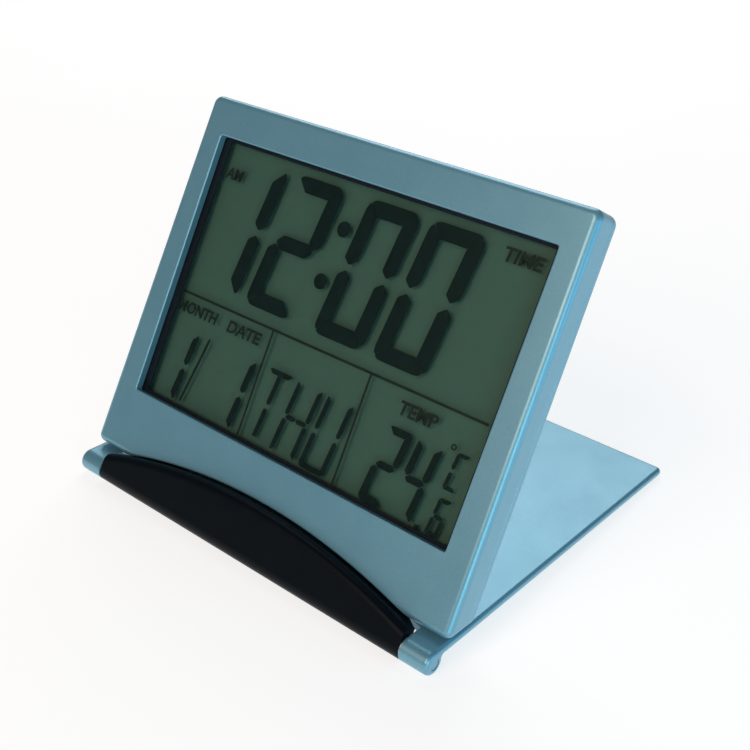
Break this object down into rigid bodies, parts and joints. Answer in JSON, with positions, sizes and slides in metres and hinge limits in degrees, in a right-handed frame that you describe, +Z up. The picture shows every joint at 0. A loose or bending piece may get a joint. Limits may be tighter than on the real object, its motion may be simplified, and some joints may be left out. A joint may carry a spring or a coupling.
{
  "type": "folding travel alarm clock",
  "caption": "Folding travel clock with a large liquid-crystal display in a slim silver case that leans back on its own cover, hinged on a black arched spine.",
  "frame": {"origin": "on the surface the clock stands on, under the middle of its overall box", "axes": "+X to the right of a person who reads the display, +Y away from them towards the far edge of the cover, +Z up; the hinge line runs along X at the front"},
  "size_m": [0.0854, 0.0761, 0.066],
  "materials": {
    "silver_shell": "satin silver paint on moulded plastic",
    "clear_window": "clear acrylic, polished",
    "mask_black": "printed black",
    "polarizer_film": "anti-glare film",
    "display_glass": "clear",
    "display_reflector": "matte grey-green",
    "connector_rubber": "striped silicone",
    "board_green": "solder mask",
    "chip_resin": "moulded resin",
    "bright_steel": "bright",
    "dark_steel": "blackened",
    "keypad_rubber": "matte silicone",
    "buzzer_brass": "rolled",
    "buzzer_ceramic": "silvered ceramic",
    "button_grey": "satin",
    "black_spine": "glossy black"
  },
  "bodies": {
    "case": {"front_case": "silver_shell", "rear_case": "silver_shell", "window_lens": "clear_window", "display_mask": "mask_black", "front_polarizer": "polarizer_film", "front_display_glass": "display_glass", "rear_display_glass": "display_glass", "display_reflector": "display_reflector", "display_connector": "connector_rubber", "circuit_board": "board_green", "clock_chip": "chip_resin", "quartz_crystal": "bright_steel", "chip_resistors": "chip_resin", "thermistor": "chip_resin", "keypad": "keypad_rubber", "coin_cell": "bright_steel", "negative_contact": "bright_steel", "positive_contact": "bright_steel", "buzzer_disc": "buzzer_brass", "buzzer_ceramic": "buzzer_ceramic", "buzzer_contacts": "bright_steel", "case_screws": "dark_steel", "board_screws": "bright_steel", "hinge_spine": "black_spine", "hinge_pin_left": "bright_steel", "hinge_pin_right": "bright_steel", "spring_washer_left": "bright_steel", "spring_washer_right": "bright_steel"},
    "cover": {"stand_cover": "silver_shell"},
    "door": {"battery_door": "silver_shell"},
    "button_mode": {"button_mode": "button_grey"},
    "button_set": {"button_set": "button_grey"},
    "button_up": {"button_up": "button_grey"},
    "button_down": {"button_down": "button_grey"}
  },
  "joints": [
    {"name": "cover_hinge", "type": "hinge", "parent": "case", "child": "cover", "pos_m": [0, -0.03595, 0.0021], "axis": [1, 0, 0], "range_deg": [-296.5, 0]},
    {"name": "door_turn", "type": "hinge", "parent": "case", "child": "door", "pos_m": [0.014, -0.01374, 0.02758], "axis": [0, 0.878, -0.4787], "range_deg": [0, 60]},
    {"name": "mode_press", "type": "slide", "parent": "case", "child": "button_mode", "axis": [0, -0.878, 0.4787], "range_m": [0, 0.0004], "stiffness_N_per_m": 500},
    {"name": "set_press", "type": "slide", "parent": "case", "child": "button_set", "axis": [0, -0.878, 0.4787], "range_m": [0, 0.0004], "stiffness_N_per_m": 500},
    {"name": "up_press", "type": "slide", "parent": "case", "child": "button_up", "axis": [0, -0.878, 0.4787], "range_m": [0, 0.0004], "stiffness_N_per_m": 500},
    {"name": "down_press", "type": "slide", "parent": "case", "child": "button_down", "axis": [0, -0.878, 0.4787], "range_m": [0, 0.0004], "stiffness_N_per_m": 500}
  ]
}
